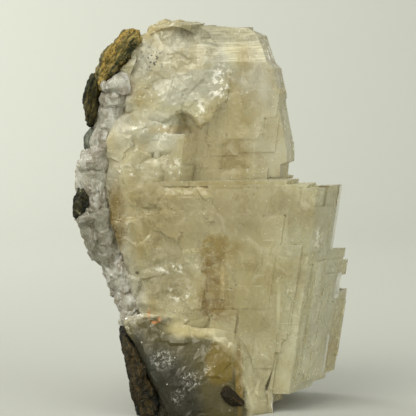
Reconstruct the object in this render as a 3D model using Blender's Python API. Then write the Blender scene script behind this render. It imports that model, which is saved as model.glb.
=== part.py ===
"""A hand-sized calcite specimen: stepped calcite, its grey quartz rim and scraps of wall rock."""

import math
import random

import bmesh
import bpy
from mathutils import Euler, Matrix, Vector, noise

# Sizes and places in the tables below are in millimetres, and MM brings them to metres.
MM = 0.001

# The three cleavage edges of calcite meet at this angle, and this turn is how the crystal stands.
CLEAVAGE_ANGLE = math.radians(101.9)
CRYSTAL_TURN = Euler((math.radians(42.2), math.radians(21.6), math.radians(-177.7)))

# The near bottom corner of the lower block. Blocks are measured from it along the cleavage edges.
CORNER = Vector((19.5, 0.0, 5.0))

# Free space between neighbouring pieces, and the height of the sawn foot.
JOINT_GAP = 0.3
FOOT_LEVEL = 0.0

# Lower block: (right, up, back) ranges in mm along the cleavage edges.
LOWER_BLOCKS = (
    ((-34.0, 0.0), (0.0, 50.2), (0.0, 14.5)),
    ((-36.2, -0.4), (46.0, 55.2), (0.05, 5.3)),
    ((-35.6, -2.9), (45.4, 56.2), (0.65, 5.1)),
    ((-36.4, -0.15), (47.0, 55.6), (6.2, 14.3)),
    ((-34.8, -8.6), (46.4, 57.3), (1.4, 8.3)),
    ((-34.0, 0.1), (1.2, 38.1), (3.0, 22.6)),
    ((-36.0, -0.2), (30.4, 34.6), (5.0, 26.8)),
    ((-38.0, 0.05), (2.6, 26.2), (6.1, 28.6)),
    ((-36.0, -4.2), (-2.5, 11.0), (-0.4, 7.0)),
    ((-38.0, -11.2), (-6.0, 9.0), (-1.0, 8.4)),
    ((-42.0, -11.8), (-1.5, 50.6), (13.0, 29.5)),
    ((-44.0, -15.8), (6.5, 47.2), (24.0, 35.5)),
    ((-41.0, -6.8), (3.6, 23.6), (20.0, 31.0)),
    ((-36.0, -14.5), (-6.5, 16.0), (6.0, 31.0)),
    ((-43.0, -23.0), (9.0, 39.0), (30.0, 37.0)),
    ((-52.0, -34.0), (18.0, 56.0), (20.0, 31.0)),
)

# Upper block: (foot, head, reach to the right, front, depth) for each slab, from the ledge up.
# Foot, head, front and depth run along the cleavage edges. Reach is the far right in world mm.
UPPER_SLABS = (
    (50.0, 60.2, 19.4, 9.2, 13.1),
    (57.2, 62.0, 21.0, 10.6, 9.3),
    (57.6, 66.8, 20.6, 9.95, 12.2),
    (58.3, 69.0, 20.0, 11.4, 10.6),
    (58.9, 77.8, 19.5, 9.9, 12.6),
    (74.1, 80.4, 18.7, 11.1, 8.9),
    (70.3, 84.6, 18.4, 12.6, 10.3),
    (81.2, 88.8, 17.2, 13.0, 9.7),
    (81.7, 90.8, 16.0, 14.6, 10.2),
    (82.3, 94.7, 14.3, 14.2, 11.3),
    (87.1, 96.7, 9.4, 15.6, 11.5),
)
UPPER_LEFT = -50.0

# Blocks behind the upper block: (right, up, back) ranges in mm along the cleavage edges.
UPPER_BACK_BLOCKS = (
    ((-54.0, -25.5), (48.0, 73.0), (18.0, 30.0)),
    ((-56.0, -31.0), (46.0, 82.0), (20.0, 33.0)),
    ((-54.0, -36.5), (70.0, 93.5), (20.0, 34.5)),
    ((-58.0, -39.0), (44.0, 77.0), (26.0, 35.0)),
    ((-56.0, -45.0), (30.0, 68.0), (26.0, 36.6)),
    ((-60.0, -47.0), (62.0, 88.0), (24.0, 36.0)),
)

# The cleaved shoulder that stands in front of the upper block, on the left.
SHOULDER_BLOCKS = (
    ((-50.0, -36.6), (54.0, 69.6), (3.0, 17.0)),
    ((-44.2, -35.9), (55.1, 61.4), (1.6, 9.1)),
    ((-51.1, -40.5), (60.2, 74.0), (5.4, 16.2)),
    ((-49.3, -33.2), (43.1, 57.2), (0.4, 14.1)),
    ((-50.7, -31.1), (28.0, 52.1), (1.2, 13.7)),
)

# Thin blades and nubs on the top edge: (right, up, back) ranges along the cleavage edges.
TOP_BLADES = (
    ((-54.6, -49.0), (88.0, 98.4), (21.0, 24.6)),
    ((-52.0, -46.6), (88.0, 97.2), (18.5, 27.0)),
    ((-44.0, -39.4), (90.0, 97.7), (21.0, 25.0)),
    ((-47.0, -36.0), (88.0, 96.4), (16.5, 30.0)),
)

# Outlines of the upright masses: how square they are seen from above, and how blunt at the ends.
LOFT_SQUARENESS = 0.35
LOFT_BLUNT = 0.4

# The broken left half of the calcite, as rows of (height, left, right, front, back) in world mm.
LEFT_MASS = (
    (-3.0, -15.0, 10.0, -5.0, 20.0),
    (4.0, -17.0, 9.4, -5.5, 24.0),
    (11.0, -19.0, 4.8, -4.5, 27.0),
    (17.0, -20.5, 1.0, -3.5, 29.0),
    (23.0, -20.5, -3.0, -1.5, 30.0),
    (32.0, -23.0, -4.0, 0.5, 29.0),
    (42.0, -27.5, -4.0, 0.0, 27.0),
    (52.0, -29.5, -6.0, -1.5, 25.0),
    (62.0, -30.0, -8.5, -3.5, 23.0),
    (70.0, -28.5, -7.0, -4.5, 21.0),
    (76.0, -27.0, -2.0, -6.0, 20.0),
    (82.0, -25.5, 3.0, -7.0, 18.0),
    (89.0, -23.0, 3.6, -6.5, 17.0),
    (94.0, -17.0, 1.0, -5.0, 15.0),
    (98.0, -14.0, -3.0, -1.0, 12.0),
)

# Broken chunks on the left half: their count, the sizes of the big and small ones, how far round
# the mass they reach, in degrees from its right-hand end by way of the front, the share of their
# width that stays inside it on the left, and the corners that each has lost.
CHUNK_SEED = 27
BIG_CHUNKS = 27
BIG_CHUNK_SIZES = (8.0, 15.0)
SMALL_CHUNKS = 22
SMALL_CHUNK_SIZES = (4.0, 8.0)
CHUNK_CHIPS = 5
CHUNK_CHIP_SHARES = (0.12, 0.45)
CHUNK_REACH = (-25.0, -240.0)
CHUNK_BURIED = 0.85

# Plates left standing by cleavage: the face that they stand on and its place along the third
# edge, their count, their lift off the face, and then for each edge of the face the stretch that
# they lie in with their shortest and longest length. PLATE_ROOT is how deep they are rooted.
TERRACE_SEED = 7
TERRACES = (
    ("front", 0.0, 16, (0.25, 0.8), (-33.0, -1.0, 5.0, 18.0), (1.0, 54.0, 6.0, 20.0)),
    ("side", 0.0, 18, (0.3, 0.9), (2.0, 37.0, 10.0, 30.0), (1.0, 21.0, 2.5, 8.0)),
    ("back", 35.5, 10, (0.5, 1.6), (-43.0, -17.0, 6.0, 16.0), (7.0, 46.0, 8.0, 24.0)),
    ("front", 9.9, 8, (0.25, 0.8), (-34.0, -16.0, 4.0, 12.0), (60.0, 82.0, 4.0, 12.0)),
)
PLATE_ROOT = 2.5

# Granular grey rim down the left side, as rows of (height, left, right, front, back) in world mm.
RIM = (
    (20.0, -22.6, -16.5, 5.0, 15.0),
    (27.0, -24.8, -17.5, 3.0, 18.0),
    (34.0, -26.6, -18.5, 1.4, 19.5),
    (39.0, -28.8, -20.5, 0.6, 20.5),
    (44.0, -32.2, -23.0, 0.2, 20.5),
    (50.0, -33.2, -24.2, -0.6, 19.5),
    (56.0, -33.2, -25.2, -1.4, 18.5),
    (62.0, -33.0, -25.6, -2.2, 17.5),
    (68.0, -30.0, -22.4, -3.0, 16.5),
    (74.0, -29.0, -20.4, -4.2, 15.5),
    (80.0, -28.2, -17.6, -5.6, 14.5),
    (86.0, -26.6, -17.0, -5.2, 13.5),
    (93.0, -23.2, -16.4, -3.0, 10.5),
)
RIM_SEED = 46
RIM_GRAINS = 22
RIM_GRAIN_SIZES = (3.0, 6.0)
RIM_REACH = (-60.0, -270.0)

# Wall rock: name, finish, then (seed, front, back, outline as x and height) for each lump of it.
WALL_ROCKS = (
    ("host_rock_crown", "rusty_rock", (
        (51, -6.5, 5.5, ((-27.4, 86.6), (-26.6, 90.2), (-24.0, 93.0), (-20.8, 96.2), (-18.6, 96.3),
                         (-16.2, 94.6), (-17.6, 91.2), (-21.4, 87.6), (-24.6, 84.2))),
        (52, -4.5, 7.5, ((-28.4, 87.4), (-26.0, 88.6), (-24.0, 85.4), (-24.8, 80.8), (-27.4, 79.6))),
    )),
    ("host_rock_flank", "dark_rock", (
        (53, -3.5, 11.0, ((-31.2, 80.2), (-29.8, 84.6), (-28.0, 86.6), (-27.6, 80.0), (-28.4, 72.4),
                          (-30.2, 71.8), (-31.2, 75.6))),
    )),
    ("host_rock_lobe", "dark_rock", (
        (55, 0.0, 8.5, ((-31.8, 68.0), (-31.0, 70.6), (-29.2, 71.6), (-28.0, 69.8), (-28.6, 66.6),
                        (-30.8, 65.0))),
    )),
    ("host_rock_spur", "dark_rock", (
        (56, -1.5, 11.0, ((-34.4, 54.2), (-33.4, 57.0), (-31.4, 56.8), (-29.8, 54.0), (-30.6, 50.6),
                          (-32.6, 47.8), (-34.4, 49.2), (-34.9, 51.2))),
    )),
    ("host_rock_foot", "dark_rock", (
        (57, -5.0, 17.0, ((-23.0, 23.2), (-20.6, 20.6), (-17.6, 15.0), (-14.8, 8.8), (-12.0, 3.0),
                          (-11.0, -3.0), (-17.5, -4.0), (-19.6, 4.0), (-21.2, 12.0))),
        (58, 9.0, 24.0, ((-20.0, 19.0), (-12.0, 24.0), (-4.0, 16.0), (-3.0, 4.0), (-6.0, -4.0),
                         (-17.0, -4.0), (-21.0, 8.0))),
    )),
    ("host_rock_chip", "rusty_rock", (
        (59, -8.4, -2.0, ((1.9, 4.6), (2.9, 7.6), (4.6, 8.4), (8.9, 3.4), (5.4, 2.2))),
    )),
)
ROCK_SIDES = 14
ROCK_RINGS = 7
ROCK_ROUGH = 0.7
ROCK_GRAIN = 1.7
ROCK_BLUNT = 0.36
ROCK_SWELL = 1.4
ROCK_CHIPS = 8
ROCK_CHIP_DEPTHS = (0.3, 1.1)

# Colour, roughness and see-through share of each finish.
FINISHES = {
    "calcite": ((0.78, 0.74, 0.58, 1.0), 0.18, 0.55),
    "quartz_rim": ((0.62, 0.60, 0.57, 1.0), 0.45, 0.10),
    "rusty_rock": ((0.24, 0.13, 0.045, 1.0), 0.75, 0.0),
    "dark_rock": ((0.045, 0.048, 0.036, 1.0), 0.72, 0.0),
}


def clear_scene():
    for obj in list(bpy.data.objects):
        bpy.data.objects.remove(obj)


def collection(name):
    made = bpy.data.collections.new(name)
    bpy.context.scene.collection.children.link(made)
    return made


def cleavage_edges():
    """Unit vectors along the right, up and back edges of the cleavage rhomb."""
    spread = math.asin(math.sqrt((1.0 - math.cos(CLEAVAGE_ANGLE)) / 1.5))
    edges = []
    for turn in (0, 120, 240):
        around = math.radians(turn)
        edges.append(Vector((
            math.sin(spread) * math.cos(around),
            math.sin(spread) * math.sin(around),
            math.cos(spread),
        )))
    edges[0].negate()
    stand = CRYSTAL_TURN.to_matrix()
    return [stand @ edge for edge in edges]


RIGHT, UP, BACK = cleavage_edges()


def mesh_object(name, bm, home):
    mesh = bpy.data.meshes.new(name)
    bm.to_mesh(mesh)
    bm.free()
    obj = bpy.data.objects.new(name, mesh)
    home.objects.link(obj)
    return obj


def as_helper(obj):
    obj.hide_render = True
    obj.display_type = "WIRE"
    return obj


def cleaved_block(name, right, up, back, home):
    """A block bounded by the three cleavage directions, between the given distances from CORNER."""
    bm = bmesh.new()
    bmesh.ops.create_cube(bm, size=1.0)
    spans = [high - low for low, high in (right, back, up)]
    middles = [(high + low) / 2 for low, high in (right, back, up)]
    axes = (RIGHT, BACK, UP)
    shear = Matrix([[axes[j][i] * spans[j] for j in range(3)] for i in range(3)]).to_4x4()
    place = CORNER + sum((axis * middle for axis, middle in zip(axes, middles)), Vector())
    bmesh.ops.transform(bm, matrix=Matrix.Scale(MM, 4) @ Matrix.Translation(place) @ shear, verts=bm.verts)
    return as_helper(mesh_object(name, bm, home))


def unevenness(point, seed):
    """Smooth noise from about -1 to 1 at a point in mm, with coarse and fine swells."""
    offset = Vector((seed * 3.7, seed * 1.3, seed * 2.9))
    return noise.noise(point / 9.0 + offset) + 0.6 * noise.noise(point / 3.6 + offset)


def settled(name, bm, home, grow=0.0):
    """Grows a closed form given in mm by so much, and makes it a helper object in metres."""
    bm.normal_update()
    for vert, normal in [(vert, vert.normal.copy()) for vert in bm.verts]:
        vert.co += normal * grow
    bmesh.ops.scale(bm, vec=(MM, MM, MM), verts=bm.verts)
    return as_helper(mesh_object(name, bm, home))


def chipped(bm, dice, chips, low, high):
    """Breaks bits off a form in mm: each chip takes what stands out furthest down to a new flat."""
    for _ in range(chips):
        aim = Vector([dice.gauss(0, 1) for _ in range(3)]).normalized()
        tip = max((vert.co for vert in bm.verts), key=aim.dot)
        flat = tip - aim * dice.uniform(low, high)
        geom = bm.verts[:] + bm.edges[:] + bm.faces[:]
        cut = bmesh.ops.bisect_plane(bm, geom=geom, plane_co=flat, plane_no=aim, clear_outer=True)
        edges = [item for item in cut["geom_cut"] if isinstance(item, bmesh.types.BMEdge)]
        bmesh.ops.triangle_fill(bm, edges=edges, use_beauty=True)
    bmesh.ops.recalc_face_normals(bm, faces=bm.faces)


def chunk(name, centre, spans, twist, dice, home, grow=0.0):
    """A broken block along the cleavage edges, twisted by some degrees, with lost corners."""
    bm = bmesh.new()
    bmesh.ops.create_cube(bm, size=1.0)
    axes = (RIGHT, BACK, UP)
    shear = Matrix([[axes[j][i] * spans[j] for j in range(3)] for i in range(3)])
    turn = Euler([math.radians(dice.uniform(-twist, twist)) for _ in range(3)]).to_matrix()
    bmesh.ops.transform(bm, matrix=(turn @ shear).to_4x4(), verts=bm.verts)
    low, high = (share * min(spans) for share in CHUNK_CHIP_SHARES)
    chipped(bm, dice, CHUNK_CHIPS, low, high)
    bmesh.ops.translate(bm, vec=centre, verts=bm.verts)
    return settled(name, bm, home, grow)


def row_at(rows, height):
    """The row of a loft at a height, between the two rows that it lies between."""
    for low, high in zip(rows, rows[1:]):
        if height <= high[0]:
            share = max(0.0, (height - low[0]) / (high[0] - low[0]))
            return [a + (b - a) * share for a, b in zip(low, high)]
    return list(rows[-1])


def loft_point(rows, height, around):
    """A point on a loft's rounded outline, around it from its right-hand end by way of the back."""
    _, left, right, front, back = row_at(rows, height)
    across, deep = math.cos(around), math.sin(around)
    fullness = 1.0 / max(abs(across), abs(deep)) ** LOFT_SQUARENESS
    return Vector((
        (left + right) / 2 + (right - left) / 2 * across * fullness,
        (front + back) / 2 + (back - front) / 2 * deep * fullness,
        height,
    ))


def lofted_mass(name, rows, seed, sides, rings, rough, home, grow=0.0):
    """An upright mass that fills the rows, with an uneven surface."""
    foot, head = rows[0][0], rows[-1][0]
    bm = bmesh.new()
    bmesh.ops.create_uvsphere(bm, u_segments=sides, v_segments=rings, radius=1.0)
    for vert in bm.verts:
        ball = vert.co.copy()
        width = math.hypot(ball.x, ball.y)
        rise = math.asin(max(-1.0, min(1.0, ball.z))) / math.pi + 0.5
        height = foot + (head - foot) * rise
        _, left, right, front, back = row_at(rows, height)
        core = Vector(((left + right) / 2, (front + back) / 2, height))
        if width < 1e-4:
            vert.co = core
            continue
        rim = loft_point(rows, height, math.atan2(ball.y, ball.x))
        point = core.lerp(rim, width ** LOFT_BLUNT)
        way = Vector((ball.x, ball.y, 0.0)).normalized()
        vert.co = point + way * unevenness(point, seed) * rough * width
    return settled(name, bm, home, grow)


def chunks_on(name, rows, count, reach, sizes, twist, sunk, seed, home, grow=0.0):
    """Chunks strewn over a loft, each sunk into it by a share of its size."""
    dice = random.Random(seed)
    foot, head = rows[0][0], rows[-1][0]
    for index in range(count):
        height = foot + (head - foot) * (index + dice.random()) / count
        around = math.radians(dice.uniform(*reach))
        spans = [dice.uniform(*sizes) for _ in range(3)]
        _, left, right, front, back = row_at(rows, height)
        core = Vector(((left + right) / 2, (front + back) / 2, height))
        rim = loft_point(rows, height, around)
        inward = (core - rim).normalized()
        centre = rim + inward * sum(spans) / 6 * dice.uniform(*sunk)
        reach_x = sum(abs(axis.x) * span for axis, span in zip((RIGHT, BACK, UP), spans)) / 2
        reach_z = sum(abs(axis.z) * span for axis, span in zip((RIGHT, BACK, UP), spans)) / 2
        centre.x = max(centre.x, left + reach_x * CHUNK_BURIED)
        centre.z = min(centre.z, head - reach_z)
        chunk(f"{name}_{index}_{grow:g}", centre, spans, twist, dice, home, grow)


def outline_point(outline, share):
    """The point that lies a share of the way round a closed outline."""
    corners = [Vector(corner) for corner in outline]
    sides = [(a, b, (b - a).length) for a, b in zip(corners, corners[1:] + corners[:1])]
    left = share * sum(length for _, _, length in sides)
    for a, b, length in sides:
        if left <= length:
            return a.lerp(b, left / length)
        left -= length
    return corners[0]


def rock_piece(name, seed, front, back, outline, home, grow=0.0):
    """A scrap of wall rock that fills its outline from front to back, rounded and uneven."""
    bm = bmesh.new()
    bmesh.ops.create_uvsphere(bm, u_segments=ROCK_SIDES, v_segments=ROCK_RINGS, radius=1.0)
    core = sum((Vector(corner) for corner in outline), Vector((0.0, 0.0))) / len(outline)
    for vert in bm.verts:
        ball = vert.co.copy()
        width = min(1.0, math.hypot(ball.x, ball.y))
        share = (-math.atan2(ball.y, ball.x) / math.tau) % 1.0
        rim = outline_point(outline, share)
        flat = core.lerp(rim, width ** ROCK_BLUNT)
        swell = math.copysign(abs(ball.z) ** ROCK_SWELL, ball.z)
        point = Vector((flat.x, (front + back) / 2 + (back - front) / 2 * swell, flat.y))
        way = Vector((rim.x - core.x, 0.0, rim.y - core.y)).normalized()
        vert.co = point + way * unevenness(point * ROCK_GRAIN, seed) * ROCK_ROUGH * width
    bmesh.ops.recalc_face_normals(bm, faces=bm.faces)
    chipped(bm, random.Random(seed), ROCK_CHIPS, *ROCK_CHIP_DEPTHS)
    return settled(name, bm, home, grow)


def upper_slabs(home):
    """Slabs of the upper block, each running in from its own reach on the right."""
    for index, (foot, head, reach, front, depth) in enumerate(UPPER_SLABS):
        back = front + depth
        room = reach - CORNER.x - UP.x * (foot + head) / 2 - BACK.x * back
        right = (UPPER_LEFT, room / RIGHT.x)
        cleaved_block(f"slab_{index}", right, (foot, head), (front, back), home)


def stretch(dice, low, high, shortest, longest):
    """A stretch of random length that lies between low and high."""
    length = dice.uniform(shortest, longest)
    start = dice.uniform(low, high - length)
    return start, start + length


def terraces(home):
    """Thin plates left standing on the front, the right and the back of the blocks."""
    dice = random.Random(TERRACE_SEED)
    for face, level, count, lifts, one_edge, other_edge in TERRACES:
        for index in range(count):
            lift = dice.uniform(*lifts)
            one = stretch(dice, *one_edge)
            other = stretch(dice, *other_edge)
            name = f"{face}_{level:g}_{index}"
            if face == "side":
                cleaved_block(name, (level - PLATE_ROOT, level + lift), one, other, home)
            elif face == "back":
                cleaved_block(name, one, other, (level - PLATE_ROOT, level + lift), home)
            else:
                cleaved_block(name, one, other, (level - lift, level + PLATE_ROOT), home)


def boolean(obj, operation, operands):
    made = obj.modifiers.new(operation.lower(), "BOOLEAN")
    made.operation = operation
    made.operand_type = "COLLECTION"
    made.collection = operands
    made.solver = "EXACT"
    made.use_self = operation == "UNION"


def largest_body(bm):
    """Deletes all but the body with the largest surface."""
    unseen = set(bm.faces)
    bodies = []
    while unseen:
        body, waiting = set(), [unseen.pop()]
        while waiting:
            face = waiting.pop()
            body.add(face)
            for edge in face.edges:
                for near in edge.link_faces:
                    if near in unseen:
                        unseen.discard(near)
                        waiting.append(near)
        bodies.append(body)
    bodies.sort(key=lambda body: sum(face.calc_area() for face in body), reverse=True)
    spare = [face for body in bodies[1:] for face in body]
    bmesh.ops.delete(bm, geom=spare, context="FACES")


def finished(name, kind, obj, home):
    """The evaluated mesh of obj as a clean object of its own, with its finish."""
    graph = bpy.context.evaluated_depsgraph_get()
    mesh = bpy.data.meshes.new_from_object(obj.evaluated_get(graph))
    bm = bmesh.new()
    bm.from_mesh(mesh)
    bpy.data.meshes.remove(mesh)
    bmesh.ops.remove_doubles(bm, verts=bm.verts, dist=0.004 * MM)
    bmesh.ops.triangulate(bm, faces=bm.faces)
    largest_body(bm)
    made = mesh_object(name, bm, home)
    made.data.materials.clear()
    made.data.materials.append(finish(kind))
    return made


def finish(kind):
    """The Principled material of a finish, made once."""
    if kind in bpy.data.materials:
        return bpy.data.materials[kind]
    colour, roughness, clear = FINISHES[kind]
    material = bpy.data.materials.new(kind)
    material.use_nodes = True
    shader = material.node_tree.nodes["Principled BSDF"]
    shader.inputs["Base Color"].default_value = colour
    shader.inputs["Roughness"].default_value = roughness
    shader.inputs["Metallic"].default_value = 0.0
    shader.inputs["Transmission Weight"].default_value = clear
    material.diffuse_color = colour
    return material


def joined(name, kind, helpers, cutters, ground, home):
    """The helpers as one solid, less the cutters and all that lies under the foot."""
    body = helpers.objects[0]
    helpers.objects.unlink(body)
    bpy.context.scene.collection.objects.link(body)
    if len(helpers.objects):
        boolean(body, "UNION", helpers)
    if len(cutters.objects):
        boolean(body, "DIFFERENCE", cutters)
    boolean(body, "DIFFERENCE", ground)
    bpy.context.view_layer.update()
    made = finished(name, kind, body, home)
    bpy.data.objects.remove(body)
    return made


def ground_cutter(home):
    """A block that takes away everything under the foot, so that the specimen stands."""
    size = 200.0
    bm = bmesh.new()
    bmesh.ops.create_cube(bm, size=size * MM)
    drop = Vector((0.0, 0.0, (FOOT_LEVEL - size / 2) * MM))
    bmesh.ops.translate(bm, vec=drop, verts=bm.verts)
    return as_helper(mesh_object("ground", bm, home))


def rock_pieces(rock, home, grow=0.0):
    name, _, lumps = rock
    for index, (seed, front, back, outline) in enumerate(lumps):
        rock_piece(f"{name}_{index}_{grow:g}", seed, front, back, outline, home, grow)


def rim_pieces(home, grow=0.0):
    lofted_mass(f"rim_{grow:g}", RIM, RIM_SEED, 14, 20, 0.9, home, grow)
    chunks_on("grain", RIM, RIM_GRAINS, RIM_REACH, RIM_GRAIN_SIZES, 60, (0.75, 1.0), RIM_SEED, home, grow)


def left_pieces(home):
    lofted_mass("left_mass", LEFT_MASS, CHUNK_SEED, 22, 26, 0.8, home)
    chunks_on("big_chunk", LEFT_MASS, BIG_CHUNKS, CHUNK_REACH, BIG_CHUNK_SIZES, 8, (0.7, 1.0),
              CHUNK_SEED, home)
    chunks_on("small_chunk", LEFT_MASS, SMALL_CHUNKS, CHUNK_REACH, SMALL_CHUNK_SIZES, 16, (0.5, 0.9),
              CHUNK_SEED + 1, home)


def build():
    clear_scene()
    specimen = collection("calcite_specimen")
    helpers = collection("helpers")
    ground = bpy.data.collections.new("ground")
    helpers.children.link(ground)
    ground_cutter(ground)

    def shapes(name):
        made = bpy.data.collections.new(name)
        helpers.children.link(made)
        return made

    # Each patch of wall rock is a solid of its own, and gives way to the patches before it.
    rock_cutters = shapes("rock_cutters")
    solids = []
    for rock in WALL_ROCKS:
        lumps = shapes(rock[0] + "_lumps")
        rock_pieces(rock, lumps)
        solids.append(joined(rock[0], rock[1], lumps, rock_cutters, ground, specimen))
        rock_pieces(rock, rock_cutters, JOINT_GAP)

    # The rim gives way to the wall rock.
    lumps = shapes("rim_lumps")
    rim_pieces(lumps)
    solids.append(joined("quartz_rim", "quartz_rim", lumps, rock_cutters, ground, specimen))

    # The calcite fills what the rim and the wall rock leave.
    rim_pieces(rock_cutters, JOINT_GAP)
    lumps = shapes("calcite_lumps")
    blocks = LOWER_BLOCKS + SHOULDER_BLOCKS + UPPER_BACK_BLOCKS + TOP_BLADES
    for index, (right, up, back) in enumerate(blocks):
        cleaved_block(f"block_{index}", right, up, back, lumps)
    upper_slabs(lumps)
    terraces(lumps)
    left_pieces(lumps)
    solids.append(joined("calcite", "calcite", lumps, rock_cutters, ground, specimen))

    # The origin is the middle of the specimen's box, on the surface that it stands on.
    points = [vert.co for solid in solids for vert in solid.data.vertices]
    middle = [(min(p[i] for p in points) + max(p[i] for p in points)) / 2 for i in range(2)]
    stand = bpy.data.objects.new("stand_point", None)
    stand.location = (-middle[0], -middle[1], 0.0)
    specimen.objects.link(stand)
    for solid in solids:
        solid.parent = stand
        print(solid.name, len(solid.data.polygons), "triangles")
    print("box middle in mm:", [round(m / MM, 2) for m in middle])


build()
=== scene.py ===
import math
import random

import bmesh
import bpy
from mathutils import Matrix, Vector, noise


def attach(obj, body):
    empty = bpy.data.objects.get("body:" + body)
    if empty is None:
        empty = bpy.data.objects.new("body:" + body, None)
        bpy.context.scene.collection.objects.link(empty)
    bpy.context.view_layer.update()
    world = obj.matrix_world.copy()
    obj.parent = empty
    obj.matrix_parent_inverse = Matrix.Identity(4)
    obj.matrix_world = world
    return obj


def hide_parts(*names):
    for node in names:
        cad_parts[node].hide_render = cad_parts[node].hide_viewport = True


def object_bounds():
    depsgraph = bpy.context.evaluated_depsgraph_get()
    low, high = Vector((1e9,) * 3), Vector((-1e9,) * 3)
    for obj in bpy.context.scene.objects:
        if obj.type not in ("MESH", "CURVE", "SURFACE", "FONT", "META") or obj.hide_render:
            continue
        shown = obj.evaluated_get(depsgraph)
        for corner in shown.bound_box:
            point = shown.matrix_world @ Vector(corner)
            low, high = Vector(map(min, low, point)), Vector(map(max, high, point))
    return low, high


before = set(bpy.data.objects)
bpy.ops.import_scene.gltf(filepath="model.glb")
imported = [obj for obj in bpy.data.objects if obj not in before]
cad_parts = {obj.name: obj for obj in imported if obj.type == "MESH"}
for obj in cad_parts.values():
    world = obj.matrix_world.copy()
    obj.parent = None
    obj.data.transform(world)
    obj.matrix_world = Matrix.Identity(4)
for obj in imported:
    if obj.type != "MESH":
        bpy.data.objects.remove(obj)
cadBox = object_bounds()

mm = 0.001
beyond = 60.0  # mm, further out than the specimen reaches
noise.seed_set(5)  # so that the facets come out the same each run

# The three edges of calcite's cleavage rhomb, as the crystal stands, and the near bottom corner of the lower block.
corner = Vector((19.05, -13.31, 5.0))
rightEdge = Vector((0.9656, -0.2588, 0.0253)).normalized()
upEdge = Vector((0.1150, -0.2740, 0.9548)).normalized()
backEdge = Vector((0.4530, 0.8914, -0.0149)).normalized()
frontNormal = rightEdge.cross(upEdge).normalized()
sideNormal = backEdge.cross(upEdge).normalized()
topNormal = rightEdge.cross(backEdge).normalized()
lattice = Matrix((rightEdge, backEdge, upEdge)).transposed()
unlattice = lattice.inverted()


# Small tools

def placed(spot):
    # a spot in mm along right, back and up, as a place in metres
    return (corner + lattice @ Vector(spot)) * mm


def screenColour(red, green, blue):
    # a colour as a screen shows it, 0 to 255, as the linear colour that a shader takes
    def straight(value):
        value /= 255
        return value / 12.92 if value < 0.04045 else ((value + 0.055) / 1.055) ** 2.4
    return (straight(red), straight(green), straight(blue), 1.0)


def newObject(name, data):
    made = bpy.data.objects.new(name, data)
    bpy.context.scene.collection.objects.link(made)
    return made


def meshFrom(bm, name):
    # the mesh of a bmesh, which is used up
    mesh = bpy.data.meshes.new(name)
    bm.to_mesh(mesh)
    bm.free()
    return mesh


def mergedCopy(node):
    # a CAD node is loose triangles: a copy of it is merged before it is worked on
    bm = bmesh.new()
    bm.from_mesh(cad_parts[node].data)
    bmesh.ops.remove_doubles(bm, verts=bm.verts, dist=1e-7)
    return meshFrom(bm, node + "_body")


def baked(obj, name):
    # the evaluated mesh as a plain one, with no modifier left
    bpy.context.view_layer.update()
    graph = bpy.context.evaluated_depsgraph_get()
    mesh = bpy.data.meshes.new_from_object(obj.evaluated_get(graph))
    obj.modifiers.clear()
    old = obj.data
    obj.data = mesh
    bpy.data.meshes.remove(old)
    mesh.name = name


# Node maths

class Number:
    # a number socket, so that the maths of nodes can be written as Python expressions
    def __init__(self, nodes, socket):
        self.nodes = nodes
        self.socket = socket

    def maths(self, operation, first, second=0.0):
        made = self.nodes.node("ShaderNodeMath", {"operation": operation}, {0: first, 1: second})
        return Number(self.nodes, made.outputs[0])

    def __add__(self, other):
        return self.maths("ADD", self, other)

    def __sub__(self, other):
        return self.maths("SUBTRACT", self, other)

    def __mul__(self, other):
        return self.maths("MULTIPLY", self, other)

    def __truediv__(self, other):
        return self.maths("DIVIDE", self, other)

    def __rsub__(self, other):
        return self.maths("SUBTRACT", other, self)

    __radd__ = __add__
    __rmul__ = __mul__

    def smallest(self, other):
        return self.maths("MINIMUM", self, other)

    def largest(self, other):
        return self.maths("MAXIMUM", self, other)

    def over(self, other):
        return self.maths("GREATER_THAN", self, other)

    def under(self, other):
        return self.maths("LESS_THAN", self, other)

    def size(self):
        return self.maths("ABSOLUTE", self)

    def clipped(self):
        return self.smallest(1.0).largest(0.0)

    def between(self, low, high):
        # 0 up to low, 1 from high on, and smooth between
        made = self.nodes.node("ShaderNodeMapRange", {"interpolation_type": "SMOOTHSTEP"}, {
            "Value": self, "From Min": low, "From Max": high})
        return Number(self.nodes, made.outputs["Result"])


class Nodes:
    # what a geometry tree and a material share: every node comes from its type, settings and sockets
    def node(self, kind, settings, sockets):
        made = self.tree.nodes.new(kind)
        for key, value in settings.items():
            if key == "stops":
                ramp = made.color_ramp.elements
                while len(ramp) < len(value):
                    ramp.new(0.5)
                for stop, (spot, colour) in zip(ramp, value):
                    stop.position = spot
                    stop.color = colour
            else:
                setattr(made, key, value)
        for key, value in sockets.items():
            for one in value if isinstance(value, list) else [value]:
                if isinstance(one, Number):
                    one = one.socket
                if isinstance(one, bpy.types.NodeSocket):
                    self.tree.links.new(one, made.inputs[key])
                else:
                    made.inputs[key].default_value = one
        return made

    def vector(self, operation, first, second=(0, 0, 0)):
        made = self.node("ShaderNodeVectorMath", {"operation": operation}, {
            0: first, "Scale" if operation == "SCALE" else 1: second})
        if operation in ("DOT_PRODUCT", "LENGTH"):
            return Number(self, made.outputs["Value"])
        return made.outputs["Vector"]

    def joined(self, x, y, z):
        return self.node("ShaderNodeCombineXYZ", {}, {0: x, 1: y, 2: z}).outputs[0]

    def split(self, vector):
        return [Number(self, part) for part in self.node("ShaderNodeSeparateXYZ", {}, {0: vector}).outputs]


# Geometry Nodes

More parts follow.
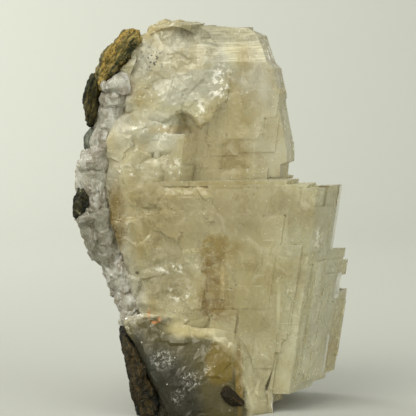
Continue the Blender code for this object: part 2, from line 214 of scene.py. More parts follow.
class Tree(Nodes):
    # named inputs, listed by their kind
    def __init__(self, name, inputs):
        self.tree = bpy.data.node_groups.new(name, "GeometryNodeTree")
        face = self.tree.interface
        self.keys = {}
        for kind, labels in {"Geometry": ["Geometry"], **inputs, "Int": ["Seed"], "Material": ["Material"]}.items():
            for label in labels:
                made = face.new_socket(label, in_out="INPUT", socket_type="NodeSocket" + kind)
                self.keys[label] = made.identifier
        face.new_socket("Geometry", in_out="OUTPUT", socket_type="NodeSocketGeometry")
        self.start = self.tree.nodes.new("NodeGroupInput")
        self.end = self.tree.nodes.new("NodeGroupOutput")

    def given(self, label):
        socket = self.start.outputs[label]
        return Number(self, socket) if socket.type in ("VALUE", "INT") else socket

    def random(self, low, high, turn):
        # turn keeps the random numbers of one tree apart
        made = self.node("FunctionNodeRandomValue", {"data_type": "FLOAT"}, {
            2: low, 3: high, "Seed": self.given("Seed") + turn})
        return Number(self, made.outputs[1])

    def lumpsOn(self, points):
        # a lump of random size and turn on each point
        lump = self.node("GeometryNodeMeshIcoSphere", {}, {"Radius": 1.0, "Subdivisions": 1}).outputs[0]
        size = self.joined(*[self.random(self.given("Smallest"), self.given("Largest"), 3.0 + axis)
                             for axis in range(3)])
        turn = self.joined(*[self.random(0.0, 6.28, 7.0 + axis) for axis in range(3)])
        spin = self.node("FunctionNodeEulerToRotation", {}, {0: turn}).outputs[0]
        return self.node("GeometryNodeInstanceOnPoints", {}, {
            "Points": points, "Instance": lump, "Rotation": spin, "Scale": size}).outputs[0]

    def finished(self, geometry):
        real = self.node("GeometryNodeRealizeInstances", {}, {0: geometry}).outputs[0]
        done = self.node("GeometryNodeSetMaterial", {}, {0: real, "Material": self.given("Material")})
        self.tree.links.new(done.outputs[0], self.end.inputs[0])
        return self

    def use(self, obj, values):
        step = obj.modifiers.new(self.tree.name, "NODES")
        step.node_group = self.tree
        for label, value in values.items():
            step[self.keys[label]] = value


def cleavageTree(name, operation):
    # Thin blocks along the cleavage edges, strewn over the faces that look one way, joined to the body or cut from
    # it. Joined blocks stop where the body does.
    tree = Tree(name, {
        "Vector": ["Facing", "Outward Edge", "First Edge", "Second Edge", "Low Corner", "High Corner", "Smallest",
                   "Largest"],
        "Float": ["Facing Share", "Density", "Least Lift", "Most Lift"]})
    given, outward = tree.given, tree.given("Outward Edge")
    normal = tree.node("GeometryNodeInputNormal", {}, {}).outputs[0]
    place = tree.node("GeometryNodeInputPosition", {}, {}).outputs[0]
    facing = tree.vector("DOT_PRODUCT", normal, given("Facing")).over(given("Facing Share"))
    strewn = tree.node("GeometryNodeDistributePointsOnFaces", {}, {
        "Mesh": given("Geometry"), "Selection": facing, "Density": given("Density"), "Seed": given("Seed")})

    # points outside the box are dropped
    x, y, z = tree.split(tree.vector("MINIMUM", tree.vector("SUBTRACT", place, given("Low Corner")),
                                     tree.vector("SUBTRACT", given("High Corner"), place)))
    kept = tree.node("GeometryNodeDeleteGeometry", {"domain": "POINT"}, {
        0: strewn.outputs["Points"], 1: x.smallest(y).smallest(z).under(0.0)})

    # size along each edge, on a curve that favours small blocks
    sizes = []
    for smallest, largest in zip(tree.split(given("Smallest")), tree.split(given("Largest"))):
        share = tree.random(0.0, 1.0, 11.0 + len(sizes))
        sizes.append(smallest + share * share * (largest - smallest))
    lift = tree.random(given("Least Lift"), given("Most Lift"), 21.0)

    # along the face a joined block reaches no further than the body does, by a ray just under the surface
    skin, rayLength, overlap = 0.25 * mm, 0.2, 0.02 * mm
    under = tree.vector("SUBTRACT", place, tree.vector("SCALE", outward, skin))
    centre = tree.vector("ADD", place, tree.vector("SCALE", outward, lift - sizes[2] * 0.5))
    lengths = []
    for size, label in zip(sizes, ("First Edge", "Second Edge")):
        reaches = []
        for way in (1.0, -1.0):
            reach = size * 0.5
            if operation == "UNION":
                ray = tree.node("GeometryNodeRaycast", {}, {
                    "Target Geometry": given("Geometry"), "Source Position": under,
                    "Ray Direction": tree.vector("SCALE", given(label), way), "Ray Length": rayLength})
                reach = reach.smallest(ray.outputs["Hit Distance"])
            reaches.append(reach)
        lengths.append(reaches[0] + reaches[1] + overlap)
        centre = tree.vector("ADD", centre, tree.vector("SCALE", given(label), (reaches[0] - reaches[1]) * 0.5))

    # each block's own matrix: the cleavage edges at its sizes, and its place
    edges = [tree.vector("SCALE", given(label), length)
             for label, length in zip(("First Edge", "Second Edge", "Outward Edge"), lengths + [sizes[2]])]
    cells = {index * 4 + row: part for index, column in enumerate(edges + [centre])
             for row, part in enumerate(tree.split(column))}
    matrix = tree.node("FunctionNodeCombineMatrix", {}, cells).outputs[0]
    cube = tree.node("GeometryNodeMeshCube", {}, {"Size": (1, 1, 1)}).outputs["Mesh"]
    blocks = tree.node("GeometryNodeInstanceOnPoints", {}, {"Points": kept.outputs[0], "Instance": cube}).outputs[0]
    blocks = tree.node("GeometryNodeSetInstanceTransform", {}, {0: blocks, "Transform": matrix}).outputs[0]
    joins = operation == "UNION"
    fused = tree.node("GeometryNodeMeshBoolean", {"operation": operation, "solver": "MANIFOLD"}, (
        {1: [blocks, given("Geometry")]} if joins else {0: given("Geometry"), 1: blocks}))
    return tree.finished(fused.outputs[0])


def chipTree():
    # Small lumps strung along the sharp edges and cut away.
    tree = Tree("edge chips", {"Float": ["Sharpness", "Spacing", "Share", "Smallest", "Largest"]})
    given = tree.given
    bend = Number(tree, tree.node("GeometryNodeInputMeshEdgeAngle", {}, {}).outputs["Unsigned Angle"])
    strings = tree.node("GeometryNodeMeshToCurve", {}, {
        "Mesh": given("Geometry"), "Selection": bend.over(given("Sharpness"))})
    beads = tree.node("GeometryNodeCurveToPoints", {"mode": "LENGTH"}, {
        0: strings.outputs[0], "Length": given("Spacing")})
    kept = tree.node("GeometryNodeDeleteGeometry", {"domain": "POINT"}, {
        0: beads.outputs[0], 1: tree.random(0.0, 1.0, 0.0).over(given("Share"))})
    cut = tree.node("GeometryNodeMeshBoolean", {"operation": "DIFFERENCE", "solver": "MANIFOLD"}, {
        0: given("Geometry"), 1: tree.lumpsOn(kept.outputs[0])})
    return tree.finished(cut.outputs[0])


def grainTree():
    # Lumps strewn over a surface and left in it.
    tree = Tree("grains", {"Float": ["Density", "Smallest", "Largest"]})
    given = tree.given
    strewn = tree.node("GeometryNodeDistributePointsOnFaces", {}, {
        "Mesh": given("Geometry"), "Density": given("Density"), "Seed": given("Seed")})
    both = tree.node("GeometryNodeJoinGeometry", {}, {0: [tree.lumpsOn(strewn.outputs[0]), given("Geometry")]})
    return tree.finished(both.outputs[0])


# Calcite

calcite = {
    "slot": "calcite",
    "plates": [
        # joined or cut, faces, low and high corner in mm, count per square metre, smallest and largest in mm along
        # the face's two edges and through it, lift in mm (a cut lies that deep), seed
        ("joined", "side", (-40, -40, 0), (40, 40, 60), 9000, (0.6, 4, 1.5), (5, 30, 3), (0.05, 0.35), 3),
        ("joined", "side", (-40, -40, 55), (40, 40, 100), 5000, (1, 2, 1), (8, 12, 3), (0.05, 0.2), 4),
        ("joined", "front", (17, -40, 0), (40, 40, 60), 8000, (0.8, 6, 1), (4, 40, 2), (0.03, 0.16), 12),
        ("joined", "front", (-6, -40, 0), (17, 40, 58), 2500, (2, 2, 1), (16, 16, 2), (0.03, 0.12), 5),
        ("joined", "top", (-20, -40, 0), (40, 40, 100), 9000, (2, 1, 0.5), (18, 8, 2), (0.05, 0.35), 6),
        ("joined", "back", (-40, -40, 0), (40, 40, 100), 5000, (2, 3, 1), (16, 24, 3), (0.1, 0.6), 7),
        ("cut", "top", (0, -40, 0), (40, 40, 58), 7000, (0.8, 0.8, 1), (8, 8, 2), (0.1, 0.5), 14),
    ],
    "facing": 0.85,  # how closely a face has to look the way of a row above
    "chips": {"Sharpness": 0.7, "Spacing": 1.7, "Share": 0.05, "Smallest": 0.15, "Largest": 0.5, "Seed": 5},
    "broken": {
        # the broken left half: the two boxes that it fills along right, back and up, their overlap with the rest,
        # voxel, smoothing and swell, its steps in rows of size, share and seed, how fast their share changes, facets
        # in rows of size and height, roughness in rows of swells per mm and height, all in mm, and the share of its
        # faces that stays
        "boxes": [((-120.0, -60.0, -30.0), (-28.0, 80.0, 56.0)), ((-120.0, -60.0, 50.0), (-43.5, 80.0, 120.0))],
        "overlap": 3.5, "voxel": 0.6, "smoothing": 140, "swell": 0.7,
        "steps": [(8.0, 0.5, 1.3), (3.0, 0.3, 5.1)], "calm": 0.11,
        "facets": [(9.0, 0.9), (3.4, 0.18), (1.3, 0.05)], "roughness": [(0.3, 0.3), (1.1, 0.05)], "crisp": 0.3,
    },
    "upper": {
        # the worn right-hand end of the upper block: its outline across and up, how far its front edge lies inside
        # that, how far back it reaches along the back edge, and where its front lies for each height, all in mm
        "outline": [(8.8, 96.2), (13.3, 94.5), (15.5, 88.0), (17.0, 86.5), (17.5, 83.7), (18.5, 79.5), (18.1, 78.5),
                    (19.3, 72.5), (19.8, 70.2), (20.5, 66.2), (20.5, 63.5), (19.0, 63.0), (18.8, 59.8), (-6.0, 59.8),
                    (-6.0, 96.8), (-2.0, 97.0)],
        "inset": 2.4, "back": 20.0, "fronts": [(59.8, 9.75), (79.0, 9.85), (88.0, 10.9), (97.0, 15.0)],
    },
    "crest": {"low": (-60.0, 15.0, 95.5), "high": (-30.0, 60.0, 110.0)},
    "lumps": {
        # lumps that stand in front: their outline across and up, front and back, how the front leans from one
        # height with height and with its square, how it leans to the left and right of one place, how far back its
        # place is cleared first, the spacing, depth and seed of its torn edge, all in mm, then as for the broken half
        "bulge": {
            "outline": [(-20.0, 92.8), (-16.2, 95.3), (-13.2, 96.8), (-10.2, 97.5), (-7.4, 97.1), (-5.0, 95.9),
                        (-1.7, 94.6), (3.3, 91.3), (5.0, 88.3), (4.8, 85.3), (3.5, 81.8), (2.8, 79.5),
                        (0.5, 77.3), (-1.0, 73.8), (-3.0, 72.5), (-4.5, 74.5), (-6.7, 75.5), (-11.2, 74.5),
                        (-16.2, 73.5), (-20.4, 76.2), (-19.2, 80.2), (-21.4, 84.2), (-19.4, 88.8)],
            "front": -20.0, "back": -9.0, "lean": (72.0, -0.255, 0.0150), "across": (-2.0, -0.12, 0.3),
            "clear": -14.0, "torn": (1.6, 0.7, 3),
            "voxel": 0.5, "smoothing": 14, "swell": 0.5, "steps": [(3.3, 0.3, 9.1)], "calm": 0.11,
            "facets": [(9.0, 0.6), (3.0, 0.3), (1.1, 0.1)], "roughness": [(0.25, 0.6), (1.1, 0.08)],
            "crisp": 0.35,
        },
        "foot": {
            "outline": [(-21.5, 23.8), (-18.2, 25.0), (-12.0, 23.6), (-8.2, 21.8), (-4.0, 21.0), (0.0, 20.8),
                        (4.0, 20.6), (7.5, 18.8), (9.5, 16.5), (12.5, 12.0), (14.0, 6.0), (14.5, -1.0),
                        (-10.2, -1.0), (-11.2, 1.8), (-14.4, 8.8), (-17.9, 16.3), (-21.0, 22.0)],
            "front": -19.3, "back": -13.0, "lean": (0.0, 0.02, 0.0109), "across": (5.0, 0.0, 0.8),
            "clear": -14.0, "torn": (2.5, 0.5, 4),
            "voxel": 0.6, "smoothing": 70, "swell": 1.0, "steps": [], "calm": 0.11,
            "facets": [(8.0, 0.5), (3.0, 0.2)], "roughness": [(1.1, 0.05)], "crisp": 0.15,
        },
    },
}

faces = {
    # the way the faces look, the edge that points out of them, and the two edges that lie in them
    "front": (frontNormal, -backEdge, rightEdge, upEdge),
    "back": (-frontNormal, backEdge, rightEdge, upEdge),
    "side": (sideNormal, rightEdge, backEdge, upEdge),
    "top": (topNormal, upEdge, rightEdge, backEdge),
}


# Materials

class Finish(Nodes):
    # one material
    def __init__(self, name):
        self.material = bpy.data.materials.new(name)
        self.material.use_nodes = True
        self.tree = self.material.node_tree
        self.tree.nodes.clear()
        self.output = self.tree.nodes.new("ShaderNodeOutputMaterial")
        place = self.node("ShaderNodeTexCoord", {}, {}).outputs["Object"]
        self.place = self.vector("SCALE", place, 1 / mm)

    def read(self, scale, shift, place=None):
        # what a texture reads: scale is in swells per mm, or per mm along each axis
        place = place or self.place
        if isinstance(scale, tuple):
            place = self.vector("MULTIPLY", place, scale)
            scale = 1.0
        if shift:
            place = self.vector("ADD", place, (shift, shift * 0.7, shift * 1.3))
        return {"Vector": place, "Scale": scale}

    def noise(self, scale, detail=2.0, rough=0.5, place=None, shift=0.0, warp=0.0):
        # from about 0 to 1
        made = self.node("ShaderNodeTexNoise", {}, {
            **self.read(scale, shift, place), "Detail": detail, "Roughness": rough, "Distortion": warp})
        return Number(self, made.outputs["Fac"])

    def spots(self, scale, shift=0.0):
        # how far the nearest of many scattered points is, and a number from 0 to 1 that is that point's own
        made = self.node("ShaderNodeTexVoronoi", {}, self.read(scale, shift))
        own = self.node("ShaderNodeSeparateColor", {}, {0: made.outputs["Color"]}).outputs[0]
        return Number(self, made.outputs["Distance"]), Number(self, own)

    def mixed(self, share, first, second):
        made = self.node("ShaderNodeMix", {"data_type": "RGBA"}, {"Factor": share, 6: first, 7: second})
        return made.outputs[2]

    def away(self, centre, radii):
        # 0 in the middle of an ellipsoid and 1 on its surface
        offset = self.vector("SUBTRACT", self.place, centre)
        return self.vector("LENGTH", self.vector("MULTIPLY", offset, tuple(1 / r for r in radii)))

    def patch(self, centre, radii, soft, ragged):
        # 1 inside an uneven ellipsoid, 0 outside, with a soft edge
        return 1.0 - (self.away(centre, radii) + ragged).between(1.0 - soft, 1.0 + soft)

    def bump(self, height, strength, distance, normal=None):
        sockets = {"Height": height, "Strength": strength, "Distance": distance}
        if normal:
            sockets["Normal"] = normal
        return self.node("ShaderNodeBump", {}, sockets).outputs["Normal"]

    def shader(self, sockets):
        return self.node("ShaderNodeBsdfPrincipled", {}, sockets).outputs[0]

    def done(self, shader, volume=None):
        self.tree.links.new(shader, self.output.inputs["Surface"])
        if volume:
            self.tree.links.new(volume, self.output.inputs["Volume"])
        return self.material


calciteColours = {
    # clouds in the honey, from pale to deep
    "pale": screenColour(212, 205, 166), "deep": screenColour(184, 168, 116),
    "stain": screenColour(172, 152, 98), "veil": screenColour(218, 213, 192), "bruise": screenColour(234, 231, 216),
    "milk": 0.48, "striae": 0.08,
    # how much there is of each fine mark and of the painted glints, and how deep the bumps are in metres
    "stains": 0.35, "wisps": 0.4, "scratches": 0.55, "crumbs": 0.85, "stray": 0.5, "paintedGlints": 0.7,
    "fineBump": 0.0003, "streakBump": 0.0004,
    # the index of clear calcite, its tint, how fast that deepens, per metre, and the tint of its glints
    "index": 1.5, "honey": (0.95, 0.9, 0.72, 1.0), "density": 20.0, "glint": (1.0, 0.97, 0.8, 1.0),
    "zones": [
        # place and half widths in mm, colour, how much of it, how milky it is there, how soft its edge is
        ("top bulge", (-7.0, -17, 86.5), (13, 16, 10.5), (159, 157, 138), 0.95, 0.85, 0.25),
        ("top band", (3.0, -14, 95.5), (14, 16, 3.6), (146, 141, 110), 0.7, 0.54, 0.4),
        ("top right", (12.5, -12, 83.0), (5.5, 16, 10), (206, 202, 182), 0.8, 0.54, 0.5),
        ("recess", (4.0, -17, 69.0), (11, 14, 9), (198, 182, 132), 0.9, 0.46, 0.4),
        ("recess dark", (-3.5, -17, 68.0), (4.0, 14, 5.5), (204, 186, 134), 0.9, 0.39, 0.5),
        ("upper right low", (14.5, -14, 68.0), (5.5, 16, 8), (206, 201, 174), 0.8, 0.54, 0.5),
        ("left shoulder", (-23.0, -16, 70.0), (5.5, 14, 9), (238, 228, 186), 0.8, 0.62, 0.5),
        ("bruised left", (-13.5, -17, 71.0), (7.0, 12, 5.5), (182, 179, 158), 0.9, 0.85, 0.4),
        ("left mid", (-14.5, -17, 62.0), (6.5, 12, 5.5), (176, 169, 136), 0.8, 0.62, 0.5),
        ("upper haze", (-22.5, -14, 76.0), (3.2, 14, 9.0), (186, 182, 163), 0.75, 0.6, 0.6),
        ("middle haze", (-26.0, -14, 58.0), (3.6, 14, 8.0), (186, 182, 163), 0.75, 0.6, 0.6),
        ("lower haze", (-23.5, -12, 40.0), (3.8, 14, 9.0), (186, 182, 164), 0.75, 0.6, 0.6),
        ("low haze", (-20.0, -12, 29.0), (3.6, 14, 6.5), (190, 188, 170), 0.7, 0.6, 0.5),
        ("brown strip", (-23.8, -15, 49.5), (2.2, 10, 8.5), (139, 113, 44), 0.95, 0.39, 0.35),
        ("front upper", (-9.0, -18, 49.0), (11, 12, 8.5), (172, 156, 106), 0.8, 0.46, 0.5),
        ("front mid", (7.0, -20, 51.0), (12, 12, 7), (194, 183, 144), 0.7, 0.46, 0.5),
        ("top of the blotch", (1.8, -19, 41.8), (5.2, 30, 3.6), (152, 124, 34), 1.0, 0.43, 0.25),
        ("neck of the blotch", (0.1, -19, 35.8), (3.4, 30, 5.0), (138, 104, 0), 1.0, 0.43, 0.35),
        ("foot of the blotch", (0.6, -19, 28.4), (4.6, 30, 5.2), (140, 106, 0), 1.0, 0.43, 0.35),
        ("left low", (-12.0, -17, 34.5), (7.0, 10, 7.0), (132, 122, 86), 0.7, 0.54, 0.5),
        ("front right", (11.5, -20, 31.0), (7.5, 12, 13), (174, 161, 106), 0.7, 0.46, 0.5),
        ("plates", (26.0, -16, 30.0), (9.0, 24, 28), (212, 210, 176), 0.8, 0.47, 0.4),
        ("plates foot", (25.0, -16, 8.0), (9.0, 24, 9.0), (238, 234, 198), 0.7, 0.5, 0.4),
        ("right foot", (12.0, -20, 11.0), (8.0, 12, 8.0), (206, 199, 158), 0.8, 0.5, 0.5),
        ("pale foot", (14.0, -20, 4.0), (13.0, 12, 3.5), (226, 218, 176), 0.7, 0.54, 0.5),
    ],
    "marks": [
        # stains, specks and lines, and painted shadows: place and half widths in mm, colour, how much of it, how soft
        # its edge is
        ("lines", (6.0, -14, 91.5), (12.0, 16, 4.2), (212, 208, 184), 0.3, 0.4),
        # painted shadow under the lower edge of the frosted lump
        ("shadow strip", (-10.5, -18, 71.6), (6.0, 8, 1.0), (170, 150, 100), 0.6, 0.6),
        ("specks", (-14.8, -17, 88.4), (3.6, 8, 3.0), (36, 30, 18), 0.95, 0.7),
        ("brown speck", (-20.6, -16, 82.0), (1.5, 8, 1.9), (104, 78, 56), 0.7, 0.6),
        ("upper veinlet", (-16.0, -13, 25.2), (0.3, 6, 1.1), (196, 130, 84), 0.7, 0.7),
        ("lower veinlet", (-14.6, -13, 23.2), (0.7, 6, 0.3), (196, 130, 84), 0.7, 0.7),
        ("end of the veinlet", (-13.4, -13, 23.9), (0.45, 6, 0.55), (196, 130, 84), 0.6, 0.7),
        ("overhang", (-5.0, -16, 21.8), (6.5, 20, 2.4), (176, 165, 122), 0.9, 0.4),
        # painted shadow: dark strips along the right edge of the rock wedge at the foot
        ("upper shadow beside the wedge", (-18.8, -17, 17.6), (2.0, 10, 3.8), (36, 36, 30), 0.8, 0.6),
        ("middle shadow beside the wedge", (-16.0, -17, 12.6), (2.2, 10, 4.0), (40, 40, 32), 0.8, 0.6),
        ("lower shadow beside the wedge", (-13.0, -17, 6.5), (2.3, 10, 4.8), (30, 29, 18), 0.8, 0.6),
        ("upper dot", (-19.0, -12, 35.5), (0.5, 6, 0.45), (70, 52, 38), 0.9, 0.4),
        ("lower dot", (-21.7, -12, 32.8), (0.4, 6, 0.4), (70, 52, 38), 0.8, 0.4),
        ("split in the blotch", (2.4, -20, 34.8), (0.6, 10, 3.6), (196, 182, 136), 0.5, 0.6),
        ("right vein", (28.8, -20, 26.9), (0.4, 10, 3.4), (206, 200, 170), 0.6, 0.6),
        ("middle vein", (16.2, -20, 28.2), (0.4, 10, 3.8), (200, 194, 160), 0.6, 0.6),
    ],
    # the smoky, see-through foot on the left, with the veil that bounds it
    "smoke": {"place": (-14.0, -12.0, 0.5), "radii": (22.5, 60.0, 23.2), "colour": (16, 15, 0), "upper": (80, 72, 34),
              "milk": 0.66, "veil": (0.03, 0.15)},
    "honeyPlate": {"place": (1.8, -17.0, 13.4), "radii": (3.7, 12.0, 5.0), "colour": (124, 104, 34)},
    "brownStreak": {"place": (6.6, -17.0, 9.5), "radii": (1.0, 12.0, 8.5), "colour": (146, 120, 50)},
    "frost": [(-12.0, -16, 14.2, 2.9, 8, 2.3), (-5.2, -16, 9.8, 3.0, 8, 1.8), (-1.4, -16, 11.8, 1.1, 8, 1.8),
              (-8.6, -16, 5.6, 1.6, 8, 2.0)],
    "bruises": [(-18.0, -17, 71.5, 2.2, 8, 1.8), (-12.8, -17, 71.5, 2.4, 8, 2.2), (-3.0, -17, 76.5, 1.4, 8, 2.6),
                (2.0, -17, 82.0, 2.6, 8, 5.0), (-9.0, -17, 62.0, 1.6, 8, 2.4), (-20.5, -17, 61.5, 3.0, 8, 1.4),
                (25.6, -20, 45.4, 1.2, 8, 3.0), (24.5, -20, 7.0, 2.6, 8, 1.8), (-10.5, -18, 36.7, 3.6, 8, 1.4),
                (-8.0, -18, 30.0, 4.0, 8, 2.6), (-18.5, -18, 25.0, 4.0, 8, 1.6), (14.0, -16, 90.5, 1.2, 8, 2.6)],
}


def calciteFinish(look):
    finish = Finish("calcite")
    cloud = finish.noise(0.06, 4.0, 0.55, shift=3.0, warp=0.7)
    ragged = (finish.noise(0.16, 4.0, 0.6, shift=11.0) - 0.5) * 0.9
    fine = finish.noise(0.7, 5.0, 0.62, shift=9.0)

    def patch(centre, radii, soft):
        return finish.patch(centre, radii, soft, ragged)

    colour = finish.mixed(cloud.between(0.36, 0.64), look["pale"], look["deep"])
    milk = look["milk"] + (cloud - 0.5) * 0.4
    crumble = finish.noise(0.6, 5.0, 0.72, shift=87.0).between(0.4, 0.52)
    for label, centre, radii, rgb, amount, milky, soft in look["zones"]:
        share = patch(centre, radii, soft)
        if "blotch" in label:
            share = share * (0.35 + 0.65 * crumble)
        colour = finish.mixed(share * amount, colour, screenColour(*rgb))
        milk = milk + (milky - milk) * share

    # growth streaks that run up the crystal
    across, deep, along = (finish.vector("DOT_PRODUCT", finish.place, tuple(unlattice[row])) for row in range(3))
    drawn = finish.joined(across * 1.3, deep * 0.5, along * 0.05)
    striae = finish.noise(1.0, 3.0, 0.6, place=drawn, shift=2.0)
    colour = finish.mixed((striae - 0.5).size() * look["striae"] * 6.0, colour, look["veil"])

    # the smoky foot and its veil
    smoke = look["smoke"]
    reach = finish.away(smoke["place"], smoke["radii"]) + ragged * 0.2
    uneven = reach + (fine - 0.5) * 0.12 + (cloud - 0.5) * 0.12
    inside = 1.0 - uneven.between(0.98, 1.06)
    deeper = 1.0 - (uneven + (cloud - 0.5) * 0.5).between(0.42, 0.78)
    smoky = finish.mixed(deeper, screenColour(*smoke["upper"]), screenColour(*smoke["colour"]))
    colour = finish.mixed(inside * 0.97, colour, smoky)
    milk = milk + (smoke["milk"] - milk) * inside
    for part in ("honeyPlate", "brownStreak"):
        share = patch(look[part]["place"], look[part]["radii"], 0.25)
        colour = finish.mixed(share * 0.85, colour, screenColour(*look[part]["colour"]))
    width, strength = smoke["veil"]
    band = 1.0 - ((reach - 1.06).size() / width).clipped()
    colour = finish.mixed(band * strength * fine.between(0.3, 0.6), colour, look["veil"])
    milk = (milk + band * 0.15).clipped()

    # honey stains, soft wisps, and thin scratches along the cleavage edges
    stains = finish.noise(0.1, 4.0, 0.6, shift=91.0, warp=0.6).between(0.5, 0.66)
    calm = 1.0 - inside * 0.8
    colour = finish.mixed(stains * calm * look["stains"], colour, look["stain"])
    wisps = finish.noise(0.2, 6.0, 0.68, shift=21.0, warp=1.0).between(0.5, 0.72) * calm
    colour = finish.mixed(wisps * look["wisps"], colour, look["veil"])
    milk = (milk + wisps * 0.2).clipped()
    level = finish.joined(across * 0.12, deep * 0.5, along * 2.2)
    upright = finish.joined(across * 2.2, deep * 0.5, along * 0.12)
    scratches = finish.noise(1.0, 2.0, 0.5, place=level, shift=5.0).between(0.66, 0.73)
    scratches = scratches.largest(finish.noise(1.0, 2.0, 0.5, place=upright, shift=8.0).between(0.68, 0.75))
    scratches = scratches * calm * finish.noise(0.13, 2.0, 0.5, shift=17.0).between(0.45, 0.6)
    colour = finish.mixed(scratches * look["scratches"], colour, look["veil"])
    milk = (milk + scratches * 0.2).clipped()

    # small stains and specks, and painted shadows
    for label, centre, radii, rgb, amount, soft in look["marks"]:
        share = patch(centre, radii, soft)
        if label == "specks":
            near = finish.spots(1.2, shift=51.0)[0] + (finish.noise(2.2, 3.0, 0.6, shift=53.0) - 0.5) * 0.9
            clusters = finish.noise(0.45, 2.0, 0.5, shift=57.0).between(0.42, 0.5)
            share = share * (1.0 - near.between(0.26, 0.38)) * clusters
        if label == "lines":
            share = share * finish.noise(1.0, 3.0, 0.5, place=level, shift=61.0).between(0.48, 0.62)
        colour = finish.mixed(share * amount, colour, screenColour(*rgb))
        milk = (milk + share * 0.3).clipped()

    # bruises and frost: white crumbled specks, and painted glints: tiny white spots that stand for highlights on
    # small facets
    crumbs = fine.between(0.5, 0.6)
    white = fine * 0.0
    for row in look["bruises"]:
        white = white.largest(patch(row[:3], row[3:], 0.5))
    white = white * crumbs
    ice = finish.noise(1.3, 6.0, 0.75, shift=71.0, warp=0.8).between(0.48, 0.62)
    for row in look["frost"]:
        white = white.largest(patch(row[:3], row[3:], 0.5) * ice * 0.5)
    stray = finish.noise(0.3, 3.0, 0.6, shift=31.0).between(0.6, 0.7) * fine.between(0.55, 0.66)
    white = (white * look["crumbs"]).largest(stray * look["stray"])
    # painted highlights: a few tiny white spots stand for light caught on small facets
    near, own = finish.spots(0.5, shift=81.0)
    paintedGlints = (1.0 - near.between(0.05, 0.11)) * own.between(0.5, 0.55)
    white = white.largest(paintedGlints * look["paintedGlints"])
    colour = finish.mixed(white, colour, look["bruise"])
    milk = (milk + white * 0.5).clipped()

    rough = finish.noise(0.35, 4.0, 0.6, shift=41.0)
    normal = finish.bump(striae, 0.25, look["streakBump"], finish.bump(fine, 0.4, look["fineBump"]))
    clear = finish.shader({
        "Base Color": finish.mixed(0.4 - inside * 0.4, colour, (1.0, 0.99, 0.93, 1.0)),
        "Roughness": 0.06 + 0.3 * rough.between(0.4, 0.7), "IOR": look["index"], "Transmission Weight": 1.0,
        "Specular Tint": look["glint"], "Normal": normal})
    milky = finish.shader({
        "Base Color": colour, "Roughness": 0.3 + 0.25 * rough.between(0.4, 0.7), "IOR": 1.6,
        "Specular IOR Level": 0.32, "Specular Tint": look["glint"], "Normal": normal,
        "Subsurface Weight": 0.35, "Subsurface Scale": 0.006, "Subsurface Radius": (1.0, 0.95, 0.75)})
    both = finish.node("ShaderNodeMixShader", {}, {0: milk, 1: clear, 2: milky}).outputs[0]
    dimmed = finish.node("ShaderNodeVolumeAbsorption", {}, {"Color": look["honey"], "Density": look["density"]})
    return finish.done(both, dimmed.outputs[0])


# Shapes

def joinedWith(obj, other, operation):
    # a closed mesh joined to, cut from or kept within another, with the second one used up
    step = obj.modifiers.new(operation.lower(), "BOOLEAN")
    step.solver = "MANIFOLD"
    step.operation = operation
    step.object = other
    baked(obj, obj.data.name)
    mesh = other.data
    bpy.data.objects.remove(other)
    bpy.data.meshes.remove(mesh)


def keptIn(obj):
    # no point stands outside the CAD model's box
    low, high = (Vector(end) for end in cadBox)
    for vert in obj.data.vertices:
        vert.co = Vector(min(max(vert.co[i], low[i]), high[i]) for i in range(3))


def cleavedBox(low, high):
    # a box along the cleavage edges, from its ranges in mm along right, back and up
    bm = bmesh.new()
    bmesh.ops.create_cube(bm, size=1.0)
    for vert in bm.verts:
        vert.co = placed([low[i] + (high[i] - low[i]) * (vert.co[i] + 0.5) for i in range(3)])
    bmesh.ops.recalc_face_normals(bm, faces=bm.faces)
    return newObject("cleaved_box", meshFrom(bm, "cleaved_box"))


def sides(corners):
    # each corner of a ring with the next one
    return zip(corners, corners[1:] + corners[:1])


def torn(outline, spacing, depth, seed):
    # an outline with more points, each moved a little
    dice = random.Random(seed)
    made = []
    for (x, z), (nextX, nextZ) in sides(outline):
        count = max(int(math.hypot(nextX - x, nextZ - z) / spacing), 1)
        for step in range(count):
            share = step / count
            made.append((x + (nextX - x) * share + dice.uniform(-depth, depth),
                         z + (nextZ - z) * share + dice.uniform(-depth, depth)))
    return made


def blockBetween(bm, name, near, far, bends=()):
    # a closed block between two rings of corners; bends are the corners of the near one that an edge joins
    bm.faces.new(near)
    bm.faces.new(far)
    for (first, firstFar), (second, secondFar) in sides(list(zip(near, far))):
        bm.faces.new((first, second, secondFar, firstFar))
    for ends in bends:
        bmesh.ops.connect_verts(bm, verts=ends)
    bmesh.ops.triangulate(bm, faces=bm.faces)
    bmesh.ops.recalc_face_normals(bm, faces=bm.faces)
    return newObject(name, meshFrom(bm, name))


def prism(outline, front, back):
    # a closed block from an outline across and up, in mm
    bm = bmesh.new()
    near, far = ([bm.verts.new(Vector((x, y, z)) * mm) for x, z in outline] for y in (front, back))
    return blockBetween(bm, "prism", near, far)


def between(value, rows):
    # rows of (at, value), read between their points
    for (low, first), (high, second) in zip(rows, rows[1:]):
        if value <= high:
            break
    share = min(max((value - low) / (high - low), 0.0), 1.0)
    return first + (second - first) * share


